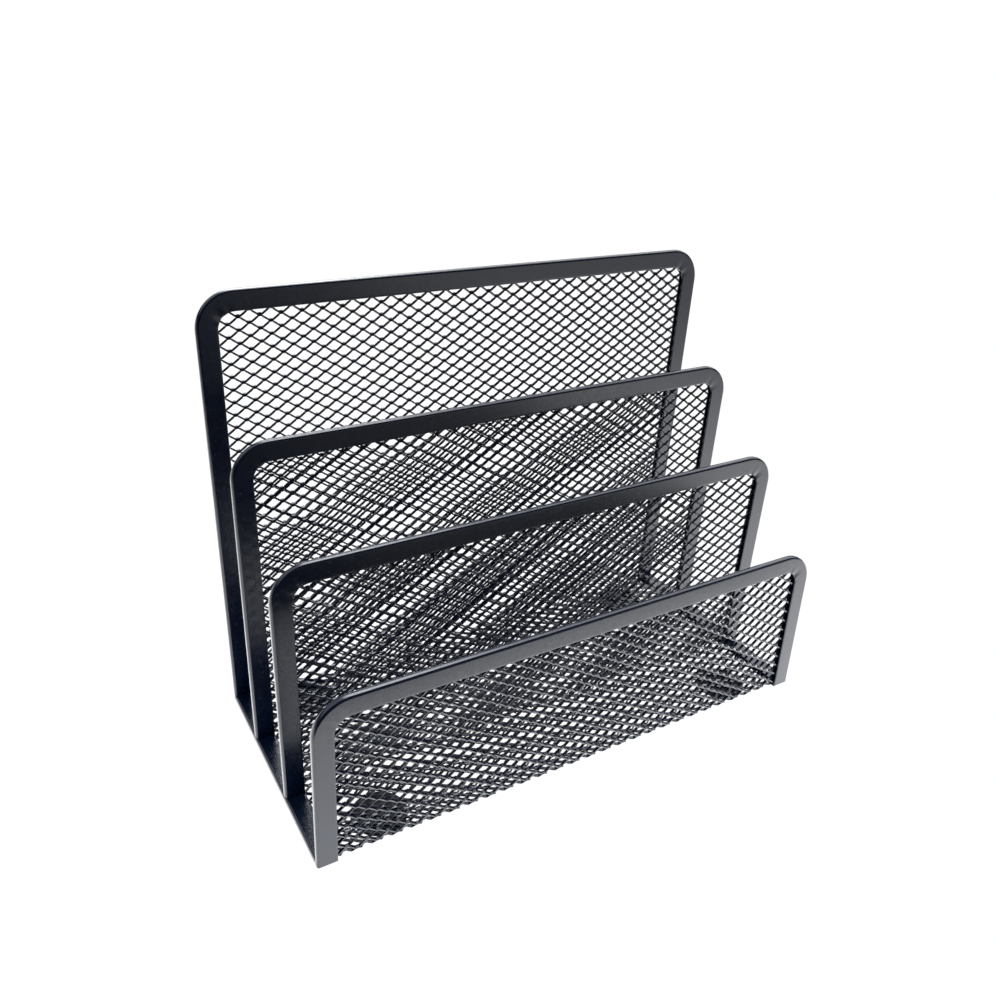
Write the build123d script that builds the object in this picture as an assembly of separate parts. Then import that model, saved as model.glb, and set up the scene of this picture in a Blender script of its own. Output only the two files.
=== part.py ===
from build123d import *

import math
import os

# Letter rack: four expanded-metal panels in folded steel rims on an expanded-metal floor.
# X runs along the width, Y from the front to the back and Z up. The origin is on the table,
# under the middle of the rack. All sizes are in millimetres.

# Overall sizes
rack_width = 175.0
rack_depth = 79.0
front_height = 55.4
front_divider_height = 79.4
rear_divider_height = 102.1
back_height = 137.0

# Slots, each measured between the middle planes of the two panels beside it; the rear one gets the rest
front_slot = 25.9
middle_slot = 27.8

# Rims: sheet steel folded to a channel, its rolled outer edge drawn as three flats
rim_face_width = 6.0
rim_thickness = 2.2
rim_sheet = 0.5
rim_edge_break = 0.6
top_corner_radius = 11.0

# Expanded metal: one wide diamond here stands for about fifteen of the real sheet
diamond_long_way = 23.5
diamond_short_way = 14.5
strand_width = 2.8
mesh_edge_margin = 1.5
mesh_under_rim = 1.5

# Rubber feet stuck under the floor
foot_diameter = 16.5
foot_side_inset = 22.5
foot_end_inset = 9.6
rail_lift = 0.3

# Places worked out from the sizes above
side_x = rack_width / 2
half_rim = rim_thickness / 2
# each sheet of mesh fills the channel between the two leaves of its rim
mesh_thickness = rim_thickness - 2 * rim_sheet
back_y = rack_depth / 2 - half_rim
front_y = -back_y
front_divider_y = front_y + front_slot
rear_divider_y = front_divider_y + middle_slot
floor_z = rail_lift + half_rim
rail_top_z = rail_lift + rim_thickness
# the floor lies flat between the inner faces of the wall rims and turns up within their thickness
fold_radius = half_rim
seam_z = floor_z + fold_radius
hole_inset = rim_face_width - mesh_under_rim


def channel_profile():
    """Section of a rim: a U with its broken back edge at x = 0 and its leaves pointing along +x."""
    inner_half = half_rim - rim_sheet
    # the flats inside lie one sheet in from those outside, so they meet a little closer together
    mitre = rim_sheet * math.tan(math.pi / 8)
    outside = [
        (rim_face_width, half_rim),
        (rim_edge_break, half_rim),
        (0, half_rim - rim_edge_break),
        (0, rim_edge_break - half_rim),
        (rim_edge_break, -half_rim),
        (rim_face_width, -half_rim),
    ]
    inside = [
        (rim_face_width, -inner_half),
        (rim_edge_break + mitre, -inner_half),
        (rim_sheet, rim_edge_break + mitre - half_rim),
        (rim_sheet, half_rim - rim_edge_break - mitre),
        (rim_edge_break + mitre, inner_half),
        (rim_face_width, inner_half),
    ]
    return Polygon(*outside, *inside, align=None)


def run_of_rim(start, along, inward, length):
    """Straight stretch of rim from a point on its outer edge, with its leaves pointing inward."""
    plane = Plane(origin=start, x_dir=inward, z_dir=along)
    return extrude(plane * channel_profile(), amount=length)


def turn_of_rim(start, along, inward, axis):
    """Quarter turn of rim from a point on its outer edge, about an axis that runs beside it."""
    plane = Plane(origin=start, x_dir=inward, z_dir=along)
    return revolve(plane * channel_profile(), axis=axis, revolution_arc=90)


def arch_rim(panel_y, low, height):
    """Rim round the two sides and the top of an upright panel."""
    up, right = (0, 0, 1), (1, 0, 0)
    turn_z = height - top_corner_radius
    turn_x = side_x - top_corner_radius
    post = run_of_rim((-side_x, panel_y, low), up, right, turn_z - low)
    corner_axis = Axis((-turn_x, panel_y, turn_z), (0, 1, 0))
    corner = turn_of_rim((-side_x, panel_y, turn_z), up, right, corner_axis)
    top = run_of_rim((-turn_x, panel_y, height), right, (0, 0, -1), 2 * turn_x)
    left_half = post + corner
    return left_half + top + mirror(left_half, about=Plane.YZ)


def left_rail():
    """Rim along the left edge of the floor, from the rim of the front wall to that of the back wall."""
    start = (-side_x, front_y + half_rim, floor_z)
    return run_of_rim(start, (0, 1, 0), (1, 0, 0), back_y - front_y - rim_thickness)


def diamond_holes(half_width, low, high, fits):
    """Outlines of the diamonds that fill a field, with half diamonds along its borders."""
    columns = max(1, round(2 * half_width / diamond_long_way))
    rows = max(1, round((high - low) / diamond_short_way))
    step_x = half_width / columns
    step_y = (high - low) / rows / 2
    cell_inradius = step_x * step_y / math.hypot(step_x, step_y)
    open_share = 1 - strand_width / 2 / cell_inradius
    reach_x = step_x * open_share
    reach_y = step_y * open_share
    holes = []
    for column in range(2 * columns + 1):
        for row in range(column % 2, 2 * rows + 1, 2):
            x = -half_width + column * step_x
            y = low + row * step_y
            corners = []
            if column > 0:
                corners.append((x - reach_x, y))
            if row > 0:
                corners.append((x, y - reach_y))
            if column < 2 * columns:
                corners.append((x + reach_x, y))
            if row < 2 * rows:
                corners.append((x, y + reach_y))
            if len(corners) == 2:
                corners.append((x, y))
            if all(fits(*corner) for corner in corners):
                holes.append(Wire.make_polygon(corners, close=True))
    return holes


def holed_sheet(low, high, hole_low, hole_high, corner_radius=0.0):
    """Flat sheet of diamonds in the XY plane, centred on it, with its upper corners rounded."""
    half_width = side_x - half_rim
    outline = Polygon(
        (-half_width, low), (half_width, low), (half_width, high), (-half_width, high), align=None
    )
    if corner_radius > 0:
        outline = fillet(outline.vertices().group_by(Axis.Y)[-1], corner_radius)

    def fits(x, y):
        over_x = abs(x) - (half_width - corner_radius)
        over_y = y - (high - corner_radius)
        if over_x <= 0 or over_y <= 0:
            return True
        return math.hypot(over_x, over_y) < corner_radius - mesh_edge_margin

    holes = diamond_holes(side_x - hole_inset, hole_low, hole_high, fits)
    sheet = Face(outline.face().outer_wire(), holes)
    return extrude(sheet, amount=mesh_thickness / 2, dir=(0, 0, 1), both=True)


def panel_mesh(panel_y, low, height):
    """Upright sheet whose edges run into the rim's channel."""
    sheet = holed_sheet(
        low,
        height - half_rim,
        low + mesh_edge_margin,
        height - hole_inset,
        top_corner_radius - half_rim,
    )
    return Plane(origin=(0, panel_y, 0), x_dir=(1, 0, 0), z_dir=(0, -1, 0)) * sheet


def floor_mesh():
    """Floor sheet folded up at the front and back, between the posts, to meet the wall sheets."""
    front_turn_y = front_y + fold_radius
    back_turn_y = back_y - fold_radius
    flat = holed_sheet(
        front_turn_y,
        back_turn_y,
        front_turn_y + mesh_edge_margin,
        back_turn_y - mesh_edge_margin,
    )
    floor = Pos(0, 0, floor_z) * flat
    edge = Rectangle(rack_width - 2 * rim_face_width, mesh_thickness)
    for wall_y, turn_y, turning in ((front_y, front_turn_y, 1), (back_y, back_turn_y, -1)):
        axis = Axis((0, turn_y, seam_z), (turning, 0, 0))
        floor += revolve(Pos(0, wall_y, seam_z) * edge, axis=axis, revolution_arc=90)
    return floor


def foot():
    """Round rubber pad that fills the height between the table and the underside of the floor."""
    height = floor_z - mesh_thickness / 2
    return Cylinder(foot_diameter / 2, height, align=(Align.CENTER, Align.CENTER, Align.MIN))


# Each upright panel: its name, middle plane, lower ends of its rim and of its mesh, and its height
panels = (
    ("front", front_y, rail_lift, seam_z, front_height),
    ("front_divider", front_divider_y, rail_top_z, rail_top_z, front_divider_height),
    ("rear_divider", rear_divider_y, rail_top_z, rail_top_z, rear_divider_height),
    ("back", back_y, rail_lift, seam_z, back_height),
)

parts = {"floor_mesh": floor_mesh()}
for name, panel_y, rim_low, mesh_low, height in panels:
    parts[f"{name}_rim"] = arch_rim(panel_y, rim_low, height)
    parts[f"{name}_mesh"] = panel_mesh(panel_y, mesh_low, height)

rail = left_rail()
parts["left_base_rail"] = rail
parts["right_base_rail"] = mirror(rail, about=Plane.YZ)

for side, foot_x in (("left", foot_side_inset - side_x), ("right", side_x - foot_side_inset)):
    for end, foot_y in (("front", front_y + foot_end_inset), ("rear", back_y - foot_end_inset)):
        parts[f"{end}_{side}_foot"] = Pos(foot_x, foot_y, 0) * foot()

os.makedirs("parts", exist_ok=True)
for name, part in parts.items():
    export_step(part, f"parts/{name}.step")
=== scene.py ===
"""Looks of the letter rack: fine expanded metal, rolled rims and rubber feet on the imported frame."""

import math
import random

import bpy
import numpy as np
from mathutils import Matrix, Vector


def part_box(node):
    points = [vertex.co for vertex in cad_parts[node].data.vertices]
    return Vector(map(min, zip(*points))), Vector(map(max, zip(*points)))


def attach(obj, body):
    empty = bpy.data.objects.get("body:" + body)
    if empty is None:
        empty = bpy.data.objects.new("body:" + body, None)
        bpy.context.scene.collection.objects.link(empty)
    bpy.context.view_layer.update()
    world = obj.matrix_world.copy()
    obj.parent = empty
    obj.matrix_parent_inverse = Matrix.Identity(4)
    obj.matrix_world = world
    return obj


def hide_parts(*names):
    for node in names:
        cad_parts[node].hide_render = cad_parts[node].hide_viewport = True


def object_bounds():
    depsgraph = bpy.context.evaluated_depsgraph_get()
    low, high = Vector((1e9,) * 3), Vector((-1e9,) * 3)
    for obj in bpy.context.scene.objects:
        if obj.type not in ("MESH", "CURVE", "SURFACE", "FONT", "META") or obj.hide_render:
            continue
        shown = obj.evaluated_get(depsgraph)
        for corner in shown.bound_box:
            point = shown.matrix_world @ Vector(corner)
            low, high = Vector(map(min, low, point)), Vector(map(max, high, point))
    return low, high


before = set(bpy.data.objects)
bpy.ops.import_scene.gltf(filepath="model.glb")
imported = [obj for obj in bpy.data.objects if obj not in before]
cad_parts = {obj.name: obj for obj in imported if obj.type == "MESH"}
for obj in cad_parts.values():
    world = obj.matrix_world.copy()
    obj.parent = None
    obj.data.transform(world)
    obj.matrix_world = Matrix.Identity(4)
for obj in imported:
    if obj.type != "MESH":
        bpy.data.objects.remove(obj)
cad_low, cad_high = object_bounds()

MM = 0.001

# Places read from the frame
rail_low, rail_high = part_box("left_base_rail")
side_x = -rail_low.x
rim_width = rail_high.x - rail_low.x
half_rim = (rail_high.z - rail_low.z) / 2
floor_z = rail_low.z + half_rim
front_y = cad_low.y + half_rim
back_y = cad_high.y - half_rim

# Each upright panel: its middle plane, the lower ends of its posts and its top
panels = {}
for name in ("front", "front_divider", "rear_divider", "back"):
    low_corner, high_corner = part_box(f"{name}_rim")
    panel_y = (low_corner.y + high_corner.y) / 2
    panels[name] = {"y": panel_y, "low": low_corner.z, "height": high_corner.z}
front_height = panels["front"]["height"]
back_height = panels["back"]["height"]

# Rims: sheet steel folded round the edge of the mesh
top_corner_radius = 11.0 * MM
rim_sheet = 0.5 * MM
# the back of the folded sheet is slightly crowned
crown_half = 0.5 * MM
crown_tilt = math.radians(12)
leaf_edge_radius = 0.2 * MM
# where the points across a leaf lie; the first, just past the bend, keeps the shading of the leaf flat
leaf_shares = (0.01, 0.15, 0.35, 0.55, 0.72, 0.86)
# the lower ends of the dividers' posts have a rounded outer corner, with points at these shares of it
post_end_radius = 0.8 * MM
post_end_shares = (0, 0.1, 0.25, 0.45, 0.7, 1.0)
# the rims of the front and back walls fold under the floor with this radius outside, mitred inside,
# and each carries a short tail of the rail
fold_outer_radius = 0.8 * MM
fold_tail = 0.3 * MM
# the front wall is a little narrower at its top: how far its left and right posts lean in there
front_lean_left = 0.7 * MM
front_lean_right = 2.6 * MM
crown_steps = 2
bend_steps = 6
lip_steps = 3
channel_steps = 6
corner_steps = 28
fold_steps = 6
rim_sharp_angle = math.radians(40)

# Pinched folds of the leaves in the top corners: depth, share of the leaf's width, count in a corner, how
# fast they deepen inwards, and how hard the left and right corners of each panel are pinched
pucker_depth = 0.36 * MM
pucker_reach = 0.62
pucker_count = 2.5
pucker_power = 1.5
pucker_seed = 7
corner_pinches = {
    "front": (0.25, 0.6),
    "front_divider": (0.7, 1.2),
    "rear_divider": (0.3, 0.6),
    "back": (1.0, 1.2),
}

# Expanded metal: diamonds with their long way across the rack
diamond_long_way = 6.056 * MM
strand_width = 0.66 * MM
tray_strand_thickness = 0.80 * MM
divider_strand_thickness = 0.50 * MM
strand_lean = math.radians(20)
front_strand_lean = math.radians(16)
# the bonds where four strands meet, each with a sloping top in the notch between its upper strands
bond_length = 0.95 * MM
bond_half_height = 0.36 * MM
bond_slope = 0.28 * MM
bond_slope_lean = math.radians(70)
# how far along its half a strand has its rings of points: it has its full width from the first one on
strand_shares = (0.3, 1.0)
mesh_sharp_angle = math.radians(40)
# the floor's sheet lies on the lower leaves of the rails and turns up into the walls
mesh_floor_lift = 0.9 * MM
mesh_fold_radius = 0.8 * MM
# rows of bonds from the fold of the front wall to the fold of the back wall
rows_round_floor = 41
# the dividers are cut from other sheets: where a bond lies across and up from the middle of the table,
# and how wide and tall the diamonds are against those of the tray
divider_starts = {"front_divider": (1.29 * MM, 0.46 * MM), "rear_divider": (-1.96 * MM, 0.99 * MM)}
divider_stretches = {"front_divider": (0.995, 1.039), "rear_divider": (0.987, 1.029)}
# play between the mesh and the back of the rim's channel
mesh_play = 0.1 * MM
# points closer than this are one point
weld_distance = 0.001 * MM

# Feet: the underside is dished, starting at one share of the radius and level from the other inwards
foot_edge_radius = 0.45 * MM
foot_dish_edge = 0.82
foot_dish_floor = 0.78
foot_steps = 72
foot_edge_steps = 4
foot_top_steps = 3
foot_sharp_angle = math.radians(50)

# Coatings: noise in cycles per metre, and the stretch of its values that is put to use
patch_scale = 220
gloss_scale = 900
noise_low = 0.3
noise_high = 0.7
# the long waves of sprayed powder are this many times longer than its grain
peel_to_grain = 4
paint_dark = (0.0004, 0.0024, 0.0100)
paint_pale = (0.0008, 0.0042, 0.0170)

# Camera, fitted to the photograph
camera_place = Vector((-139.79, -206.65, 203.54)) * MM
camera_azimuth = math.radians(-31.687)
camera_elevation = math.radians(27.529)
camera_roll = math.radians(3.176)
focal_in_pixels = 913.214
photo_side = 1000
sensor_width = 36.0
nearest_seen = 10 * MM

# Stage: how bright the camera sees the floor and what lies beyond it
stage_white = 1.02

# Floor: how bright the rack's reflections see it, and the places on it, in metres, where that changes
floor_half_side = 12.0
floor_bright = 3.2
floor_far = 0.9
floor_dim = 0.3
floor_dark = 0.02
dim_start = -0.05
dim_full = 0.01
shade_start = -0.100
shade_full = -0.108
right_start = 0.11
right_full = 0.20
pool_radius = 0.12
pool_end = 0.50
under_rack_fade = 0.004

# Soft light, placed by how far a unit direction reaches across, back and up: it spans from low behind the
# rack to past overhead, fades out to the left and is dim on the right
softbox_low = 0.29
softbox_low_fade = 0.07
softbox_front = -0.3
softbox_front_fade = 0.2
softbox_left = -0.1
softbox_left_fade = 0.2
softbox_left_share = 0.1
softbox_dim_start = 0.32
softbox_dim_full = 0.44
softbox_light = 12.0
softbox_dim = 3.0
room_light = 0.06


# Helpers for pieces


def new_object(name, data):
    """New object in the scene."""
    thing = bpy.data.objects.new(name, data)
    bpy.context.scene.collection.objects.link(thing)
    return thing


def add_piece(name, vertices, faces, node, material, sharp_angle):
    """New mesh object that stands for a CAD node, which it hides, and takes the given material."""
    mesh = bpy.data.meshes.new(name)
    mesh.from_pydata([tuple(v) for v in vertices], [], [tuple(f) for f in faces])
    mesh.update()
    mesh.polygons.foreach_set("use_smooth", [True] * len(mesh.polygons))
    mesh.set_sharp_from_angle(angle=sharp_angle)
    mesh.materials.append(material)
    piece = new_object(name, mesh)
    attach(piece, "root")
    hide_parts(node)


def arc(centre, radius, start, end, steps):
    """Points of a circular arc, both ends included."""
    angles = [start + (end - start) * i / steps for i in range(steps + 1)]
    return [(centre[0] + radius * math.cos(a), centre[1] + radius * math.sin(a)) for a in angles]


def welded(points):
    """Points without those that lie on another one, and the new number of each of the old points."""
    keys = np.round(points / weld_distance).astype(np.int64)
    first, numbers = np.unique(keys, axis=0, return_index=True, return_inverse=True)[1:]
    return points[first], numbers.reshape(-1)


# Materials


def node_tree(owner):
    """Empty node tree of a material or world, with a helper that adds a node and sets its inputs."""
    owner.use_nodes = True
    tree = owner.node_tree
    tree.nodes.clear()

    def add(kind, **inputs):
        node = tree.nodes.new(kind)
        for key, value in inputs.items():
            node.inputs[key.replace("_", " ")].default_value = value
        return node

    return tree, add


def mapped(tree, value, start, end, low, high, step="LINEAR"):
    """Value carried over from the range between start and end to the one between low and high."""
    node = tree.nodes.new("ShaderNodeMapRange")
    node.interpolation_type = step
    node.inputs["From Min"].default_value = start
    node.inputs["From Max"].default_value = end
    node.inputs["To Min"].default_value = low
    node.inputs["To Max"].default_value = high
    tree.links.new(value, node.inputs["Value"])
    return node.outputs["Result"]


def noise_at(tree, add, scale, detail):
    """Noise in the object's own coordinates, with the scale in cycles per metre."""
    place = tree.nodes.get("place") or add("ShaderNodeTexCoord")
    place.name = "place"
    noise = add("ShaderNodeTexNoise", Scale=scale, Detail=detail)
    tree.links.new(place.outputs["Object"], noise.inputs["Vector"])
    return noise.outputs["Fac"]


def bumped(tree, add, height, depth):
    """Bump of a given depth from a height that varies."""
    bump = add("ShaderNodeBump", Strength=1.0, Distance=depth)
    tree.links.new(height, bump.inputs["Height"])
    return bump


def coated(name, dark, pale, smooth, rough, grain, grain_depth, peel_depth, specular, tint):
    """Black coating: mottled colour and gloss, a fine grain and the long waves of sprayed powder."""
    material = bpy.data.materials.new(name)
    tree, add = node_tree(material)
    shader = add("ShaderNodeBsdfPrincipled", IOR=1.5, Specular_IOR_Level=specular, Specular_Tint=(*tint, 1))
    output = add("ShaderNodeOutputMaterial")
    tree.links.new(shader.outputs["BSDF"], output.inputs["Surface"])

    patches = noise_at(tree, add, patch_scale, detail=4)
    colour = add("ShaderNodeMix")
    colour.data_type = "RGBA"
    colour.inputs["A"].default_value = (*dark, 1)
    colour.inputs["B"].default_value = (*pale, 1)
    tree.links.new(mapped(tree, patches, noise_low, noise_high, 0, 1), colour.inputs["Factor"])
    tree.links.new(colour.outputs["Result"], shader.inputs["Base Color"])

    gloss = noise_at(tree, add, gloss_scale, detail=3)
    tree.links.new(mapped(tree, gloss, noise_low, noise_high, smooth, rough), shader.inputs["Roughness"])

    grain_bump = bumped(tree, add, noise_at(tree, add, grain, detail=2), grain_depth)
    peel_bump = bumped(tree, add, noise_at(tree, add, grain / peel_to_grain, detail=1), peel_depth)
    tree.links.new(grain_bump.outputs["Normal"], peel_bump.inputs["Normal"])
    tree.links.new(peel_bump.outputs["Normal"], shader.inputs["Normal"])
    return material


rim_paint = coated(
    "rim_paint",
    dark=paint_dark,
    pale=paint_pale,
    smooth=0.18,
    rough=0.28,
    grain=3200,
    grain_depth=0.006 * MM,
    peel_depth=0.012 * MM,
    specular=0.5,
    tint=(0.92, 0.95, 1.0),
)
mesh_paint = coated(
    "mesh_paint",
    dark=paint_dark,
    pale=paint_pale,
    smooth=0.15,
    rough=0.25,
    grain=4200,
    grain_depth=0.006 * MM,
    peel_depth=0.01 * MM,
    specular=0.5,
    tint=(0.90, 0.94, 1.0),
)
foot_rubber = coated(
    "foot_rubber",
    dark=(0.003, 0.0035, 0.005),
    pale=(0.006, 0.007, 0.009),
    smooth=0.62,
    rough=0.85,
    grain=2600,
    grain_depth=0.02 * MM,
    peel_depth=0.01 * MM,
    specular=0.3,
    tint=(1.0, 1.0, 1.0),
)


# Rims and rails


def rim_section():
    """Closed outline of the folded sheet: distance in from the outer edge, and height off the middle."""
    crown_radius = crown_half / math.sin(crown_tilt)
    bend_radius = (half_rim - crown_half) / (1 - math.sin(crown_tilt))
    bend_reach = crown_radius - (crown_radius - bend_radius) * math.cos(crown_tilt)
    bend_centre = (bend_reach, bend_radius - half_rim)
    crown = arc((crown_radius, 0), crown_radius, math.pi, math.pi + crown_tilt, crown_steps)
    bend = arc(bend_centre, bend_radius, math.pi + crown_tilt, 3 * math.pi / 2, bend_steps)
    lower_nose = crown + bend[1:]
    nose = [(u, -v) for u, v in reversed(lower_nose)] + lower_nose[1:]
    leaf = [(bend_reach + (rim_width - bend_reach) * share, -half_rim) for share in leaf_shares]
    lip_centre = (rim_width - leaf_edge_radius, -half_rim + leaf_edge_radius)
    lip = arc(lip_centre, leaf_edge_radius, -math.pi / 2, 0, lip_steps)
    inner = half_rim - rim_sheet
    channel = arc((half_rim, 0), inner, 3 * math.pi / 2, math.pi / 2, channel_steps)
    lower = leaf + lip + [(rim_width, -inner)]
    upper = [(u, -v) for u, v in reversed(lower)]
    return nose + lower + channel + upper


def swept_rim(stations, turn):
    """Vertices and faces of the rim's section carried along its stations.

    A turn of -1 runs the corners of the faces the other way round. A rim needs it where the way along it,
    the inward way and the normal make a right-handed frame.
    """
    section = rim_section()
    count = len(section)
    points = []
    for stop in stations:
        inset = stop["inset"]
        squeeze = (rim_width - inset) / rim_width
        for u, v in section:
            if "fold" in stop:
                middle = stop["fold"](half_rim + v)
            else:
                lift = v - math.copysign(1, v) * stop["pucker"](u)
                middle = stop["place"] + stop["normal"] * lift
            points.append(middle + stop["inward"] * (inset + u * squeeze))
    faces = []
    for i in range(len(stations) - 1):
        for j in range(count):
            k = (j + 1) % count
            faces.append((i * count + j, (i + 1) * count + j, (i + 1) * count + k, i * count + k))
    last = (len(stations) - 1) * count
    faces.append(tuple(range(count)))
    faces.append(tuple(last + j for j in reversed(range(count))))
    # inside a tight fold points fall together, and faces between them close up and are left out
    vertices, numbers = welded(np.array(points))
    faces = [tuple(dict.fromkeys(numbers[list(face)])) for face in faces]
    return vertices, [face[::turn] for face in faces if len(face) > 2]


def no_pucker(u):
    """A stretch of rim without pinched folds."""
    return 0.0


def pucker_at(turn, strength, phase):
    """Pinched folds of the two leaves part-way round a corner, fading towards the outer edge."""
    window = math.sin(math.pi * turn) ** 2
    wave = math.sin(2 * math.pi * (pucker_count * turn + phase))

    def depth(u):
        share = max(0.0, (u / rim_width - (1 - pucker_reach)) / pucker_reach)
        return strength * pucker_depth * window * (0.5 + 0.5 * wave) * share ** pucker_power

    return depth


def station(place, inward, normal, inset=0.0, pucker=no_pucker):
    """Where the section stands: its outer edge, the ways inward and across, and what narrows it."""
    return {"place": place, "inward": inward, "normal": normal, "inset": inset, "pucker": pucker}


def side_station(x_way, y, z, normal, inset=0.0):
    """Station of a post or a rail, with its outer edge on the left or the right side of the rack."""
    return station(Vector((x_way * side_x, y, z)), Vector((-x_way, 0, 0)), normal, inset)


def divider_foot_stations(x_way, panel_y, low):
    """Stations at the lower end of a divider's post, its outer corner rounded off."""
    stations = []
    for share in post_end_shares:
        inset = post_end_radius * (1 - math.sqrt(1 - (1 - share) ** 2))
        z = low + post_end_radius * share
        stations.append(side_station(x_way, panel_y, z, Vector((0, 1, 0)), inset))
    return stations


def wall_foot_stations(x_way, wall_y, inner_way):
    """Stations from a short tail of rail, round the tight fold, to the lower end of a wall's post."""
    outer_y = wall_y - inner_way * half_rim
    centre_y = outer_y + inner_way * fold_outer_radius
    centre = Vector((x_way * side_x, centre_y, rail_low.z + fold_outer_radius))
    diagonal = Vector((0, inner_way, 1))

    def folded(outward):
        def place(depth):
            if depth < fold_outer_radius:
                return centre + outward * (fold_outer_radius - depth)
            return centre + diagonal * (depth - fold_outer_radius)

        return place

    tail_y = wall_y + inner_way * (half_rim + fold_tail)
    stations = [side_station(x_way, tail_y, floor_z, Vector((0, 0, 1)))]
    for i in range(fold_steps + 1):
        angle = math.pi / 2 * (1 - i / fold_steps)
        outward = Vector((0, -inner_way * math.cos(angle), -math.sin(angle)))
        stations.append({"inward": Vector((-x_way, 0, 0)), "inset": 0.0, "fold": folded(outward)})
    post_z = rail_high.z + fold_tail
    stations.append(side_station(x_way, wall_y, post_z, Vector((0, inner_way, 0))))
    return stations


def corner_stations(x_way, panel, normal, strength, phase):
    """Stations round a top corner, from the end of the post to the start of the top."""
    centre_x = x_way * (side_x - top_corner_radius)
    centre = Vector((centre_x, panel["y"], panel["height"] - top_corner_radius))
    stations = []
    for i in range(1, corner_steps):
        turn = i / corner_steps
        angle = math.pi / 2 * turn
        outward = Vector((x_way * math.cos(angle), 0, math.sin(angle)))
        place = centre + outward * top_corner_radius
        stations.append(station(place, -outward, normal, pucker=pucker_at(turn, strength, phase)))
    top = station(Vector((centre_x, panel["y"], panel["height"])), Vector((0, 0, -1)), normal)
    return stations + [top]


def arch_stations(panel, inner_way, pinches, rng):
    """Stations from the lower end of the left post, over the top, to the lower end of the right post."""
    normal = Vector((0, inner_way, 0))
    halves = []
    for x_way, strength in zip((-1, 1), pinches):
        if panel["low"] < floor_z:
            foot = wall_foot_stations(x_way, panel["y"], inner_way)
        else:
            foot = divider_foot_stations(x_way, panel["y"], panel["low"])
        post_end = side_station(x_way, panel["y"], panel["height"] - top_corner_radius, normal)
        corner = corner_stations(x_way, panel, normal, strength, rng.random())
        halves.append(foot + [post_end] + corner)
    return halves[0] + halves[1][::-1]


def rail_stations(x_way):
    """Stations along a base rail, between the tails of the front and back walls' rims."""
    ends = (rail_low.y + fold_tail, rail_high.y - fold_tail)
    return [side_station(x_way, y, floor_z, Vector((0, 0, 1))) for y in ends]


def leaned_in(points):
    """Points of the front wall, drawn in from both sides towards its top."""
    x, y, z = points.T
    lean = np.where(x < 0, front_lean_left, front_lean_right)
    return np.stack([x - x / side_x * lean * z / front_height, y, z], axis=1)


def add_rim(name, vertices, faces, node):
    """Piece of folded steel that stands for a rim or a rail."""
    add_piece(name, vertices, faces, node, rim_paint, rim_sharp_angle)


rng = random.Random(pucker_seed)
for name, panel in panels.items():
    # the normal of the back wall points to the front, and the others to the back
    inner_way = -1 if name == "back" else 1
    stations = arch_stations(panel, inner_way, corner_pinches[name], rng)
    vertices, faces = swept_rim(stations, -inner_way)
    if name == "front":
        vertices = leaned_in(vertices)
    add_rim(f"{name}_rim_rolled", vertices, faces, f"{name}_rim")

for side, x_way in (("left", -1), ("right", 1)):
    vertices, faces = swept_rim(rail_stations(x_way), -x_way)
    add_rim(f"{side}_rail_rolled", vertices, faces, f"{side}_base_rail")


# Expanded metal: a sheet's own coordinates run across it, into its depth and along its rows

mesh_floor_z = rail_low.z + mesh_floor_lift
seam_z = mesh_floor_z + mesh_fold_radius
floor_flat = back_y - front_y - 2 * mesh_fold_radius
quarter_fold = math.pi / 2 * mesh_fold_radius
round_floor = 2 * quarter_fold + floor_flat
row_step = round_floor / rows_round_floor
column_step = diamond_long_way / 2
column_limit = int(side_x / column_step) + 1

# Levels of a bond's corners
bond_bottom, bond_middle, slope_foot, slope_head = range(4)
bond_levels = slope_head + 1


def leaning(lean):
    """Ways up and through a strand that leans back, in coordinates across, back and up."""
    up = np.array((0.0, math.sin(lean), math.cos(lean)))
    through = np.array((0.0, math.cos(lean), -math.sin(lean)))
    return up, through


def bond_corner(x_way, level, back):
    """Number of a bond's corner: on its left or right, at one of its levels, at the front or the back."""
    return (0 if x_way < 0 else 2 * bond_levels) + 2 * level + back


def bond_side(x_way, low, high):
    """Corners round the left or right side of a bond between two of its levels."""
    ways = ((low, 0), (high, 0), (high, 1), (low, 1))
    return [bond_corner(x_way, level, back) for level, back in ways]


def bond_points(thickness, lean):
    """Corners of a bond, in the order of their numbers."""
    up, through = leaning(lean)
    slope_up, slope_through = leaning(bond_slope_lean)
    edge_through = (through + slope_through) / (1 + through @ slope_through)
    top = up * bond_half_height
    levels = {
        bond_bottom: (-top, through),
        bond_middle: (np.zeros(3), through),
        slope_foot: (top, edge_through),
        slope_head: (top + slope_up * bond_slope, slope_through),
    }
    points = []
    for x_way in (-1, 1):
        for place, way in levels.values():
            middle = place + (x_way * bond_length / 2, 0, 0)
            points += [middle - way * thickness / 2, middle + way * thickness / 2]
    return points


def bond_faces():
    """Faces all round a bond and at the two ends of its slope, open where its strands leave it."""
    fronts = [(level, 0) for level in range(bond_levels)]
    backs = [(level, 1) for level in reversed(range(bond_levels))]
    loop = fronts + backs
    faces = []
    for first, second in zip(loop, loop[1:] + loop[:1]):
        ways = ((-1, first), (1, first), (1, second), (-1, second))
        faces.append([bond_corner(x_way, *edge) for x_way, edge in ways])
    for x_way in (-1, 1):
        faces.append(bond_side(x_way, slope_foot, slope_head)[::-x_way])
    return faces


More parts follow.
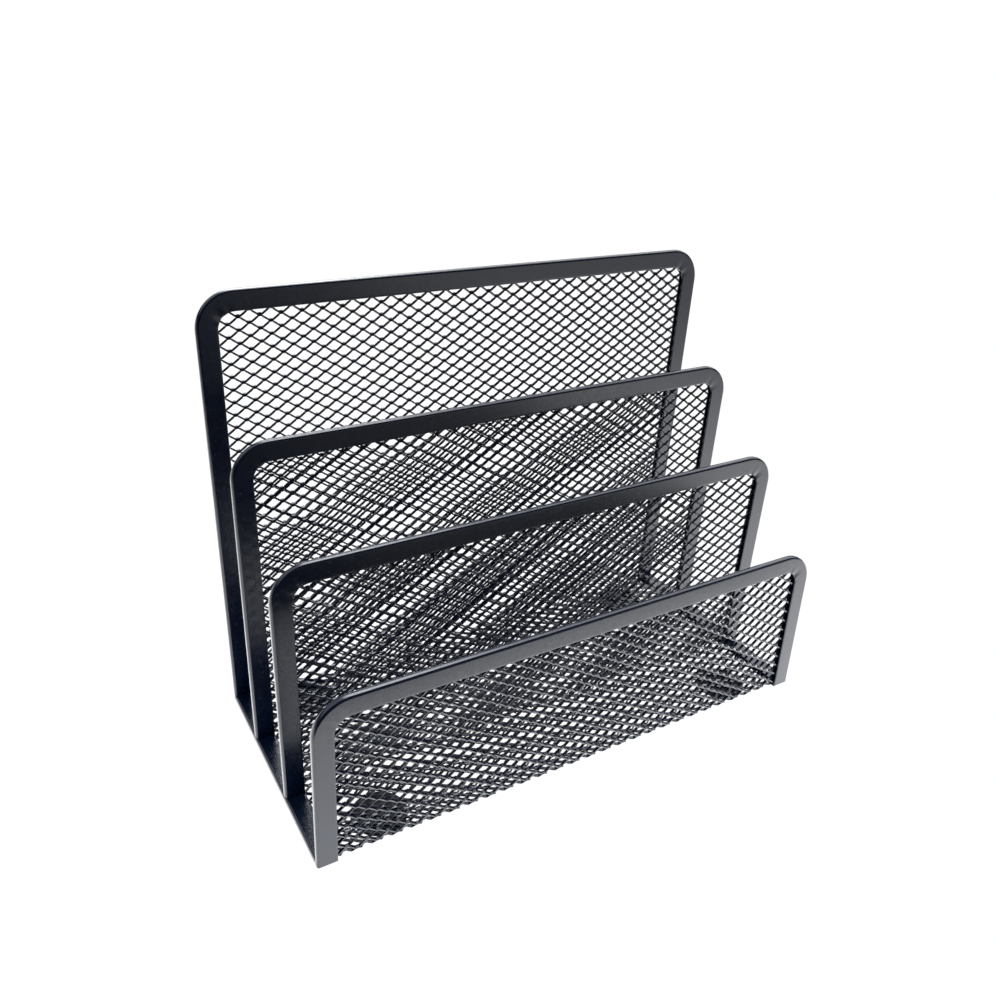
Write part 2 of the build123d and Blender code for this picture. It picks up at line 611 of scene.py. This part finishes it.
def half_strand(x_way, up_way, thickness, lean):
    """Rings of points along the half of a strand that leaves a bond to one side, up or down."""
    up, through = leaning(lean)
    half = up * strand_width / 2
    thick = through * thickness / 2
    start = np.array((bond_length / 2, 0.0, 0.0)) + up * bond_half_height * up_way / 2
    finish = np.array((column_step / 2, 0.0, up_way * row_step / 2))
    rings = []
    for share in strand_shares:
        middle = (start + (finish - start) * share) * (x_way, 1, 1)
        front = [middle - half - thick, middle + half - thick]
        back = [middle + half + thick, middle - half + thick]
        rings.append(front + back)
    return rings


def bond_unit(thickness, lean):
    """One bond with the four half strands that leave it: points, faces and the open ends' rings."""
    points = bond_points(thickness, lean)
    faces = bond_faces()
    ends = {}
    for x_way in (-1, 1):
        for up_way in (-1, 1):
            low = bond_bottom if up_way < 0 else bond_middle
            ring = bond_side(x_way, low, low + 1)
            for ring_points in half_strand(x_way, up_way, thickness, lean):
                next_ring = [len(points) + k for k in range(4)]
                points += ring_points
                for k in range(4):
                    m = (k + 1) % 4
                    quad = [ring[k], ring[m], next_ring[m], next_ring[k]]
                    faces.append(quad[::-x_way])
                ring = next_ring
            ends[(x_way, up_way)] = ring[::-x_way]
    return np.array(points), np.array(faces), ends


def turned_unit(thickness, lean, deep_way, along_way):
    """The bond unit in a sheet's own coordinates, where back or up may count the other way."""
    points, faces, ends = bond_unit(thickness, lean)
    points = points * (1, deep_way, along_way)
    turn = slice(None, None, deep_way * along_way)
    ends = {(x_way, up_way * along_way): ring[turn] for (x_way, up_way), ring in ends.items()}
    return points, faces[:, turn], ends


def sheet_of_bonds(nodes, unit, place):
    """Vertices and faces of the bonds at lattice nodes (column, row), welded and capped at open ends."""
    unit_points, unit_faces, unit_ends = unit
    nodes = sorted(nodes)
    known = set(nodes)
    shifts = np.array([(column * column_step, 0.0, row * row_step) for column, row in nodes])
    points = (unit_points[None] + shifts[:, None]).reshape(-1, 3)
    starts = np.arange(len(nodes)) * len(unit_points)
    faces = (unit_faces[None] + starts[:, None, None]).reshape(-1, 4)
    caps = []
    for start, (column, row) in zip(starts, nodes):
        for (x_way, up_way), ring in unit_ends.items():
            if (column + x_way, row + up_way) not in known:
                caps.append([start + k for k in ring])
    faces = np.vstack([faces, np.array(caps)])
    points, numbers = welded(points)
    return place(points), numbers[faces]


def lattice(first_row, last_row, odd, fits):
    """Nodes of the lattice that fit, in a range of rows: the odd or the even fields of a chess board."""
    return [
        (column, row)
        for row in range(first_row, last_row + 1)
        for column in range(-column_limit, column_limit + 1)
        if (column + row) % 2 == odd and fits(column * column_step, row * row_step)
    ]


def inside_arch(x, z, height):
    """Whether a bond and its strands stay within the channel of an arch rim."""
    margin = half_rim + mesh_play
    reach_x = side_x - margin - column_step / 2
    reach_z = height - margin - row_step / 2
    if abs(x) > reach_x or z > reach_z:
        return False
    over_x = abs(x) - (side_x - top_corner_radius)
    over_z = z - (height - top_corner_radius)
    if over_x <= 0 or over_z <= 0:
        return True
    return math.hypot(over_x, over_z) < top_corner_radius - margin - column_step / 2


def fits_front(x, along):
    """Whether a bond of the front wall stays within its rim."""
    return inside_arch(x, seam_z - along, front_height)


def fits_floor(x, along):
    """Whether a bond of the floor stays within the channels of the rails."""
    return abs(x) < side_x - half_rim - mesh_play - column_step / 2


def fits_back(x, along):
    """Whether a bond of the back wall stays within its rim."""
    return inside_arch(x, seam_z + along - round_floor, back_height)


def tray_place(points):
    """Places points of the sheet that runs down the front wall, along the floor and up the back wall."""
    x, deep, along = points.T
    floor_start = quarter_fold
    floor_end = quarter_fold + floor_flat
    back_start = floor_end + quarter_fold
    front_angle = np.clip(along / mesh_fold_radius, 0, math.pi / 2)
    back_angle = np.clip((along - floor_end) / mesh_fold_radius, 0, math.pi / 2)
    bend = mesh_fold_radius - deep
    turn_y = front_y + mesh_fold_radius
    y = np.where(
        along < floor_end,
        turn_y - bend * np.cos(front_angle) + np.clip(along - floor_start, 0, floor_flat),
        back_y - mesh_fold_radius + bend * np.sin(back_angle),
    )
    z = np.where(
        along < floor_end,
        seam_z - bend * np.sin(front_angle) - np.minimum(along, 0),
        seam_z - bend * np.cos(back_angle) + np.maximum(along - back_start, 0),
    )
    return np.stack([x, y, z], axis=1)


def divider_sheet(panel, start, stretch):
    """Vertices and faces of an upright sheet whose lattice has a start and a stretch of its own."""

    def shifted(x, along):
        return start[0] + x * stretch[0], start[1] + along * stretch[1]

    def fits(x, along):
        x, z = shifted(x, along)
        above_rail = z > panel["low"] + row_step * stretch[1] / 2
        return above_rail and inside_arch(x, z, panel["height"])

    def place(points):
        x, deep, along = points.T
        x, z = shifted(x, along)
        return np.stack([x, panel["y"] + deep, z], axis=1)

    nodes = lattice(0, int(panel["height"] / row_step), False, fits)
    unit = turned_unit(divider_strand_thickness, strand_lean, 1, 1)
    return sheet_of_bonds(nodes, unit, place)


def add_strands(name, vertices, faces):
    """Sheet of expanded metal that stands for the mesh of a panel or of the floor."""
    piece_name = f"{name}_mesh_strands"
    add_piece(piece_name, vertices, faces, f"{name}_mesh", mesh_paint, mesh_sharp_angle)


# Each sheet of the tray: its first and last row, which bonds fit, the ways that a bond's depth and height
# count there, and the lean of its strands. Its rows run down the front wall and up the back wall, its deep
# side faces inwards, and strands lean out of the rack towards the top of both walls.
tray_sheets = {
    "front": {
        "rows": (-int(front_height / row_step), 0),
        "fits": fits_front,
        "ways": (-1, -1),
        "lean": front_strand_lean,
    },
    "floor": {
        "rows": (1, rows_round_floor - 1),
        "fits": fits_floor,
        "ways": (1, 1),
        "lean": strand_lean,
    },
    "back": {
        "rows": (rows_round_floor, rows_round_floor + int(back_height / row_step)),
        "fits": fits_back,
        "ways": (-1, 1),
        "lean": strand_lean,
    },
}
for name, sheet in tray_sheets.items():
    nodes = lattice(*sheet["rows"], True, sheet["fits"])
    unit = turned_unit(tray_strand_thickness, sheet["lean"], *sheet["ways"])
    vertices, faces = sheet_of_bonds(nodes, unit, tray_place)
    # across, deep and along make a left-handed frame in the tray, so its faces turn the other way
    faces = faces[:, ::-1]
    if name == "front":
        vertices = leaned_in(vertices)
    add_strands(name, vertices, faces)

for name, start in divider_starts.items():
    vertices, faces = divider_sheet(panels[name], start, divider_stretches[name])
    add_strands(name, vertices, faces)


# Feet


def turned_foot(centre, radius, bottom, top):
    """Rubber disc with rounded edges and a dished underside, turned about an upright axis."""
    edge = foot_edge_radius
    dish = [(radius * foot_dish_floor, bottom + edge / 2), (radius * foot_dish_edge, bottom)]
    lower = arc((radius - edge, bottom + edge), edge, -math.pi / 2, 0, foot_edge_steps)
    upper = arc((radius - edge / 2, top - edge / 2), edge / 2, 0, math.pi / 2, foot_top_steps)
    outline = dish + lower + upper
    vertices = []
    for i in range(foot_steps):
        angle = 2 * math.pi * i / foot_steps
        for r, z in outline:
            vertices.append((centre.x + r * math.cos(angle), centre.y + r * math.sin(angle), z))
    count = len(outline)
    faces = []
    for i in range(foot_steps):
        k = (i + 1) % foot_steps
        for j in range(count - 1):
            faces.append((i * count + j, k * count + j, k * count + j + 1, i * count + j + 1))
    faces.append(tuple(i * count for i in reversed(range(foot_steps))))
    faces.append(tuple(i * count + count - 1 for i in range(foot_steps)))
    return vertices, faces


for end in ("front", "rear"):
    for side in ("left", "right"):
        node = f"{end}_{side}_foot"
        low_corner, high_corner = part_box(node)
        centre = (low_corner + high_corner) / 2
        radius = (high_corner.x - low_corner.x) / 2
        vertices, faces = turned_foot(centre, radius, low_corner.z, high_corner.z)
        add_piece(f"{node}_pad", vertices, faces, node, foot_rubber, foot_sharp_angle)


# Camera

camera_data = bpy.data.cameras.new("camera")
camera_data.sensor_width = sensor_width
camera_data.lens = focal_in_pixels / photo_side * sensor_width
camera_data.clip_start = nearest_seen
camera = new_object("camera", camera_data)
backward = Vector(
    (
        math.sin(camera_azimuth) * math.cos(camera_elevation),
        -math.cos(camera_azimuth) * math.cos(camera_elevation),
        math.sin(camera_elevation),
    )
)
level = Vector((math.cos(camera_azimuth), math.sin(camera_azimuth), 0))
upward = backward.cross(level)
right = level * math.cos(camera_roll) + upward * math.sin(camera_roll)
upward = upward * math.cos(camera_roll) - level * math.sin(camera_roll)
camera_turn = Matrix((right, upward, backward)).transposed().to_4x4()
camera.matrix_world = Matrix.Translation(camera_place) @ camera_turn
bpy.context.scene.camera = camera


# Floor and light


def faded(tree, value, start, end, low, high):
    """Value passed through a smooth step from low at start to high at end."""
    return mapped(tree, value, start, end, low, high, step="SMOOTHSTEP")


def faded_off(tree, value, reach):
    """Smooth step from 0 within a reach on either side to 1 beyond it."""
    size = tree.nodes.new("ShaderNodeMath")
    size.operation = "ABSOLUTE"
    tree.links.new(value, size.inputs[0])
    return faded(tree, size.outputs["Value"], reach - under_rack_fade, reach + under_rack_fade, 0, 1)


def reach_along(tree, place, way):
    """How far a place or direction reaches along a way."""
    dot = tree.nodes.new("ShaderNodeVectorMath")
    dot.operation = "DOT_PRODUCT"
    dot.inputs[1].default_value = way
    tree.links.new(place, dot.inputs[0])
    return dot.outputs["Value"]


def combined(tree, operation, first, second):
    """Sum, product or larger of two values."""
    maths = tree.nodes.new("ShaderNodeMath")
    maths.operation = operation
    for socket, value in zip(maths.inputs, (first, second)):
        if isinstance(value, (int, float)):
            socket.default_value = value
        else:
            tree.links.new(value, socket)
    return maths.outputs["Value"]


def white_to_camera(tree, add, light):
    """Light of the stage: plain white where the camera sees it, and the given light in reflections."""
    path = add("ShaderNodeLightPath")
    choice = add("ShaderNodeMix")
    tree.links.new(path.outputs["Is Camera Ray"], choice.inputs["Factor"])
    tree.links.new(light, choice.inputs["A"])
    choice.inputs["B"].default_value = stage_white
    return choice.outputs["Result"]


def add_floor():
    """Plain white table: bright round the rack, dim under it and in the shade before it."""
    mesh = bpy.data.meshes.new("floor")
    half = floor_half_side
    corners = [(-half, -half, 0), (half, -half, 0), (half, half, 0), (-half, half, 0)]
    mesh.from_pydata(corners, [], [(0, 1, 2, 3)])
    floor = new_object("floor", mesh)
    material = bpy.data.materials.new("floor_white")
    mesh.materials.append(material)
    tree, add = node_tree(material)
    place = add("ShaderNodeTexCoord").outputs["Object"]
    across = reach_along(tree, place, Vector((1, 0, 0)))
    back = reach_along(tree, place, Vector((0, 1, 0)))
    distance = add("ShaderNodeVectorMath")
    distance.operation = "LENGTH"
    tree.links.new(place, distance.inputs[0])
    lit_near = faded(tree, back, shade_full, shade_start, 0, 1)
    lit_right = faded(tree, across, right_start, right_full, 0, 1)
    lit = combined(tree, "MAXIMUM", lit_near, lit_right)
    pool = faded(tree, distance.outputs["Value"], pool_radius, pool_end, floor_bright, floor_far)
    beside = combined(tree, "MAXIMUM", faded_off(tree, across, side_x), faded_off(tree, back, back_y))
    bright = combined(tree, "MULTIPLY", combined(tree, "MULTIPLY", lit, pool), beside)
    dim = faded(tree, across, dim_start, dim_full, floor_dark, floor_dim)
    light = combined(tree, "ADD", bright, dim)
    glow = add("ShaderNodeEmission", Color=(1, 1, 1, 1))
    tree.links.new(white_to_camera(tree, add, light), glow.inputs["Strength"])
    output = add("ShaderNodeOutputMaterial")
    tree.links.new(glow.outputs["Emission"], output.inputs["Surface"])


def add_world():
    """Dim room with a large soft light behind and above the rack, which fades out to the left."""
    world = bpy.data.worlds.new("studio")
    bpy.context.scene.world = world
    tree, add = node_tree(world)
    place = add("ShaderNodeTexCoord").outputs["Generated"]
    aside = reach_along(tree, place, Vector((1, 0, 0)))
    back = reach_along(tree, place, Vector((0, 1, 0)))
    rise = reach_along(tree, place, Vector((0, 0, 1)))
    behind = faded(tree, back, softbox_front, softbox_front + softbox_front_fade, 0, 1)
    above = faded(tree, rise, softbox_low, softbox_low + softbox_low_fade, 0, 1)
    window = combined(tree, "MULTIPLY", above, behind)
    left_end = softbox_left + softbox_left_fade
    far_left = faded(tree, aside, softbox_left, left_end, softbox_left_share, 1)
    strength = faded(tree, aside, softbox_dim_start, softbox_dim_full, softbox_light, softbox_dim)
    softbox = combined(tree, "MULTIPLY", combined(tree, "MULTIPLY", window, far_left), strength)
    light = combined(tree, "ADD", softbox, room_light)
    sky = add("ShaderNodeBackground", Color=(1, 1, 1, 1))
    tree.links.new(white_to_camera(tree, add, light), sky.inputs["Strength"])
    output = add("ShaderNodeOutputWorld")
    tree.links.new(sky.outputs["Background"], output.inputs["Surface"])


add_floor()
add_world()
bpy.context.scene.view_settings.view_transform = "Standard"
